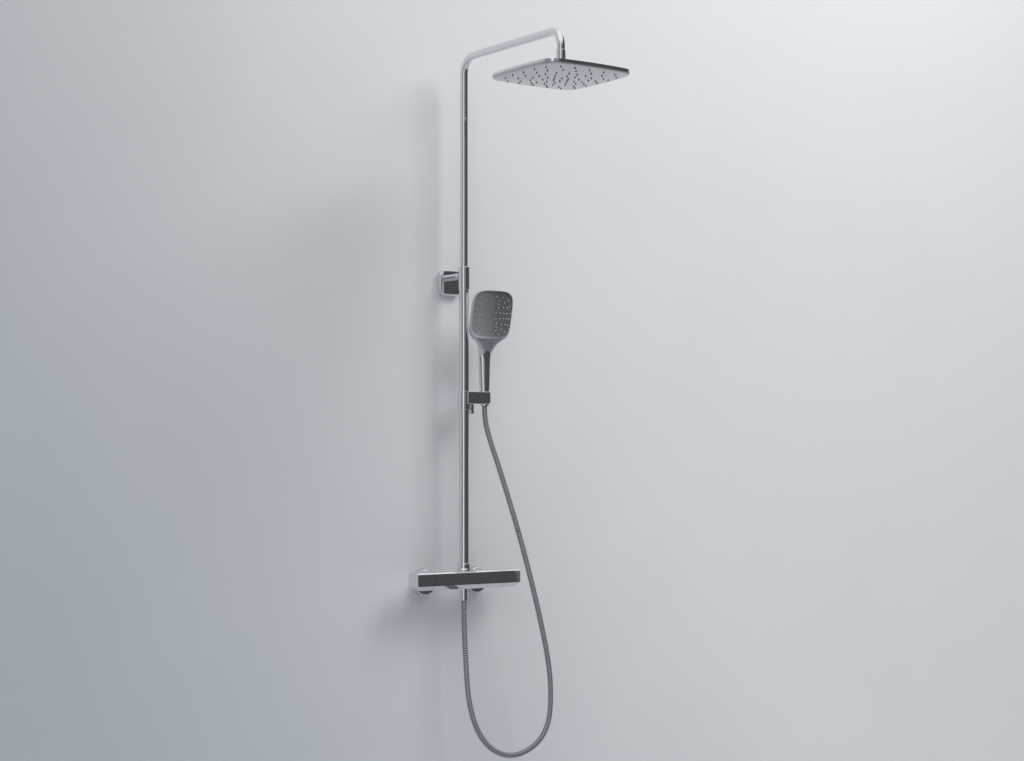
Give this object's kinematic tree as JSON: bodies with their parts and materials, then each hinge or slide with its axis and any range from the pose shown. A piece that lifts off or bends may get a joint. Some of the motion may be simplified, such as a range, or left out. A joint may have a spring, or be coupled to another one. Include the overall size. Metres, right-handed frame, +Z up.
{
  "type": "rainfall shower column",
  "caption": "Wall-mounted shower column with a bar mixer, telescoping riser, flat rain head on a ball joint, and a hand shower on a sliding holder.",
  "frame": {"origin": "midway between the two wall inlets, on the wall's face", "axes": "+X right along the wall, +Y into the wall, +Z up"},
  "size_m": [0.3839, 0.608, 1.6917],
  "materials": {
    "chrome": "polished",
    "brass": "machined",
    "steel": "machined",
    "hose_steel": "spiral wound metal",
    "grey_plastic": "satin",
    "dark_plastic": "satin",
    "white_plastic": "satin",
    "chromed_plastic": "chromed",
    "rubber": "matt",
    "grey_rubber": "matt"
  },
  "bodies": {
    "column": {"wall_union_left": "chrome", "wall_union_right": "chrome", "escutcheon_left": "chrome", "escutcheon_right": "chrome", "union_nuts": "chrome", "filter_washers": "rubber", "check_valves": "dark_plastic", "mixer_body": "chrome", "diverter_cartridge": "dark_plastic", "thermostat_cartridge": "dark_plastic", "cartridge_seals": "rubber", "cartridge_nuts": "brass", "riser_nut": "chrome", "riser_seal": "rubber", "lower_riser_tube": "chrome", "telescope_sleeve": "chrome", "bracket_grub_screws": "steel", "bracket_stem": "chrome", "bracket_base": "steel", "bracket_rosette": "chrome", "bracket_wall_screws": "steel", "hose_connector": "chrome", "hose_washer": "rubber", "hose_lower": "hose_steel"},
    "temperature_control": {"temperature_knob": "chrome", "thermostat_spindle": "brass", "temperature_knob_screw": "steel", "safety_spring": "steel"},
    "safety_stop": {"safety_button": "chrome"},
    "flow_control": {"flow_knob": "chrome", "diverter_spindle": "brass", "flow_knob_screw": "steel"},
    "telescope_guide": {"riser_guide_bush": "dark_plastic", "guide_seals": "rubber"},
    "arm": {"upper_riser_arm": "chrome", "riser_spigot": "brass", "head_ball_nut": "chrome", "head_seal": "rubber", "head_flow_limiter": "white_plastic"},
    "ball_seat": {"head_ball_seat": "white_plastic"},
    "rain_head": {"head_top_shell": "chrome", "head_ball_cap": "chrome", "head_spray_plate": "grey_plastic", "head_nozzles": "grey_rubber"},
    "slider": {"slider_collar": "chrome", "slider_bush": "white_plastic", "holder_block": "chrome", "brake_pad": "dark_plastic", "lever_pin": "steel", "lever_spring": "steel", "hose_upper": "hose_steel"},
    "lever": {"release_lever": "chrome"},
    "handset": {"handset_shell": "chromed_plastic", "handset_face_plate": "grey_plastic", "handset_nozzles": "grey_rubber", "handset_button_spring": "steel", "selector_valve": "dark_plastic", "hose_cone_nut": "chrome"},
    "push_button": {"handset_button": "chromed_plastic"}
  },
  "joints": [
    {"name": "temperature_turn", "type": "hinge", "parent": "column", "child": "temperature_control", "pos_m": [0, -0.075, 0.007], "axis": [1, 0, 0], "range_deg": [-120, 60]},
    {"name": "safety_press", "type": "slide", "parent": "temperature_control", "child": "safety_stop", "axis": [0, 1, 0], "range_m": [0, 0.0015], "stiffness_N_per_m": 600, "springref_m": -0.001},
    {"name": "flow_turn", "type": "hinge", "parent": "column", "child": "flow_control", "pos_m": [0, -0.075, 0.007], "axis": [1, 0, 0], "range_deg": [-70, 70]},
    {"name": "riser_telescope", "type": "slide", "parent": "column", "child": "telescope_guide", "axis": [0, 0, 1], "range_m": [-0.23, 0.06]},
    {"name": "arm_swivel", "type": "hinge", "parent": "telescope_guide", "child": "arm", "pos_m": [0, -0.07, 0], "axis": [0, 0, 1], "range_deg": [-60, 60]},
    {"name": "head_tilt_forwards", "type": "hinge", "parent": "arm", "child": "ball_seat", "pos_m": [0, -0.45, 1.163], "axis": [1, 0, 0], "range_deg": [-12, 12]},
    {"name": "head_tilt_sideways", "type": "hinge", "parent": "ball_seat", "child": "rain_head", "pos_m": [0, -0.45, 1.163], "axis": [0, 1, 0], "range_deg": [-12, 12]},
    {"name": "slider_height", "type": "slide", "parent": "column", "child": "slider", "axis": [0, 0, 1], "range_m": [-0.15, 0.24], "deforming": ["hose_lower"]},
    {"name": "lever_squeeze", "type": "hinge", "parent": "slider", "child": "lever", "pos_m": [0.02075, -0.07, 0.436], "axis": [0, 1, 0], "range_deg": [0, 6], "stiffness_Nm_per_rad": 0.4, "springref_deg": -17.19},
    {"name": "handset_lift", "type": "slide", "parent": "slider", "child": "handset", "axis": [0, 0, 1], "range_m": [0, 0.04], "deforming": ["hose_upper"]},
    {"name": "button_press", "type": "slide", "parent": "handset", "child": "push_button", "axis": [0, 0.9781, 0.2079], "range_m": [0, 0.002], "stiffness_N_per_m": 400, "springref_m": -0.001}
  ]
}
